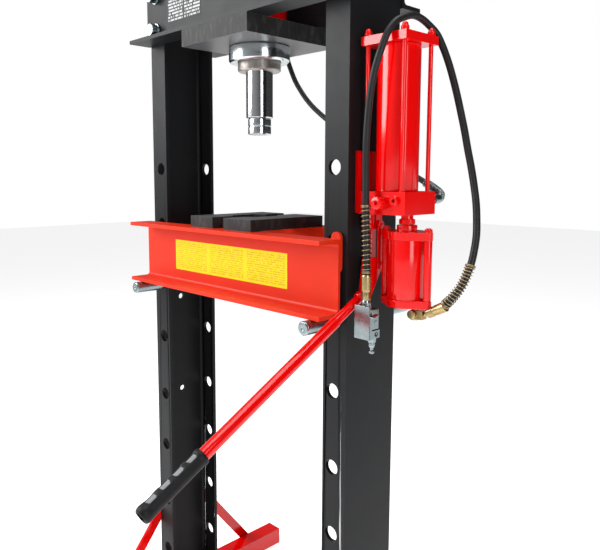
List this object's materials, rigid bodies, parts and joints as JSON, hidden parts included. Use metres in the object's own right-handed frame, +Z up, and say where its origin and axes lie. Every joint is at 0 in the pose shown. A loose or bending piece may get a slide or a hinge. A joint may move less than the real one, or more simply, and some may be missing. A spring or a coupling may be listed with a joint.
{
  "type": "hydraulic shop press",
  "caption": "Floor-standing workshop press: channel uprights with pin holes, height-set red bed, hydraulic ram, side pump with hand lever and air motor.",
  "frame": {"origin": "on the floor, midway between the two uprights, under the ram's axis", "axes": "+Z up along the ram, +X towards the pump side, +Y to the back"},
  "size_m": [0.9443, 0.937, 1.816],
  "materials": {
    "black_paint": "satin charcoal powder coat, slightly pebbled",
    "red_paint": "high-gloss red enamel",
    "bed_paint": "satin red enamel",
    "dark_steel": "dark oxide plate with satin top",
    "zinc": "bright zinc plating",
    "chrome": "hard chrome, polished",
    "brass": "yellow-passivated brass",
    "hose_rubber": "smooth black hose cover",
    "grip_rubber": "matte moulded grip",
    "label_yellow": "printed warning sticker, blank lines only"
  },
  "bodies": {
    "frame": {"right_upright": "black_paint", "left_upright": "black_paint", "right_foot_rail": "red_paint", "left_foot_rail": "red_paint", "floor_cross_tie": "red_paint", "left_front_brace": "red_paint", "left_back_brace": "red_paint", "right_front_brace": "red_paint", "right_back_brace": "red_paint", "head_front_channel": "black_paint", "head_back_channel": "black_paint", "head_plate": "dark_steel", "head_bolt_front_left_low": "zinc", "head_bolt_front_left_high": "zinc", "head_bolt_front_right_low": "zinc", "head_bolt_front_right_high": "zinc", "head_bolt_back_left_low": "zinc", "head_bolt_back_left_high": "zinc", "head_bolt_back_right_low": "zinc", "head_bolt_back_right_high": "zinc", "cylinder_barrel": "red_paint", "cylinder_lock_nut": "zinc", "cylinder_port_fitting": "zinc", "pump_bracket": "red_paint", "pump_block": "red_paint", "oil_tank": "red_paint", "tank_cap": "red_paint", "tank_rod_front_inner": "red_paint", "tank_rod_back_inner": "red_paint", "tank_rod_front_outer": "red_paint", "tank_rod_back_outer": "red_paint", "relief_plug": "red_paint", "oil_hose_fitting": "zinc", "motor_top_cap": "red_paint", "motor_barrel": "red_paint", "motor_bottom_cap": "red_paint", "motor_rod_inner": "red_paint", "motor_rod_outer": "red_paint", "air_elbow": "brass", "fulcrum_link": "red_paint", "air_hose": "hose_rubber", "oil_hose": "hose_rubber", "air_valve_body": "zinc"},
    "ram": {"ram_rod": "chrome", "ram_nose": "zinc"},
    "bed": {"bed_front_channel": "bed_paint", "bed_back_channel": "bed_paint", "bed_left_spacer": "bed_paint", "bed_right_spacer": "bed_paint"},
    "left_arbor": {"left_arbor_plate": "dark_steel"},
    "right_arbor": {"right_arbor_plate": "dark_steel"},
    "left_pin": {"left_support_pin": "zinc"},
    "right_pin": {"right_support_pin": "zinc"},
    "handle": {"handle_socket": "red_paint", "handle_tube": "red_paint", "handle_grip": "grip_rubber"},
    "plunger": {"pump_plunger": "chrome"},
    "release_knob": {"release_valve": "red_paint"},
    "motor_piston": {"air_piston": "zinc"},
    "valve_lever": {"air_valve_lever": "zinc"}
  },
  "joints": [
    {"name": "ram_slide", "type": "slide", "parent": "frame", "child": "ram", "axis": [0, 0, -1], "range_m": [-0.1, 0.1]},
    {"name": "bed_lift", "type": "slide", "parent": "frame", "child": "bed", "axis": [0, 0, 1], "range_m": [0, 0.09]},
    {"name": "left_arbor_slide", "type": "slide", "parent": "bed", "child": "left_arbor", "axis": [1, 0, 0], "range_m": [-0.1, 0.02]},
    {"name": "right_arbor_slide", "type": "slide", "parent": "bed", "child": "right_arbor", "axis": [1, 0, 0], "range_m": [-0.02, 0.1]},
    {"name": "left_pin_pull", "type": "slide", "parent": "frame", "child": "left_pin", "axis": [0, -1, 0], "range_m": [0, 0.26]},
    {"name": "right_pin_pull", "type": "slide", "parent": "frame", "child": "right_pin", "axis": [0, -1, 0], "range_m": [0, 0.26]},
    {"name": "handle_swing", "type": "hinge", "parent": "frame", "child": "handle", "pos_m": [0.371, -0.008, 1.063], "axis": [-1, 0, 0], "range_deg": [0, 60]},
    {"name": "plunger_slide", "type": "slide", "parent": "frame", "child": "plunger", "axis": [0, 0, 1], "range_m": [0, 0.022]},
    {"name": "release_valve_turn", "type": "hinge", "parent": "frame", "child": "release_knob", "pos_m": [0.422, -0.06, 1.192], "axis": [0, -1, 0], "range_deg": [0, 270]},
    {"name": "motor_piston_stroke", "type": "slide", "parent": "frame", "child": "motor_piston", "axis": [0, 0, 1], "range_m": [0, 0.03]},
    {"name": "valve_lever_press", "type": "hinge", "parent": "frame", "child": "valve_lever", "pos_m": [0.402, -0.081, 0.932], "axis": [-1, 0, 0], "range_deg": [0, 5], "stiffness_Nm_per_rad": 1}
  ],
  "couplings": [
    {"joint": "plunger_slide", "follows": "handle_swing", "m_per_rad": 0.02}
  ]
}
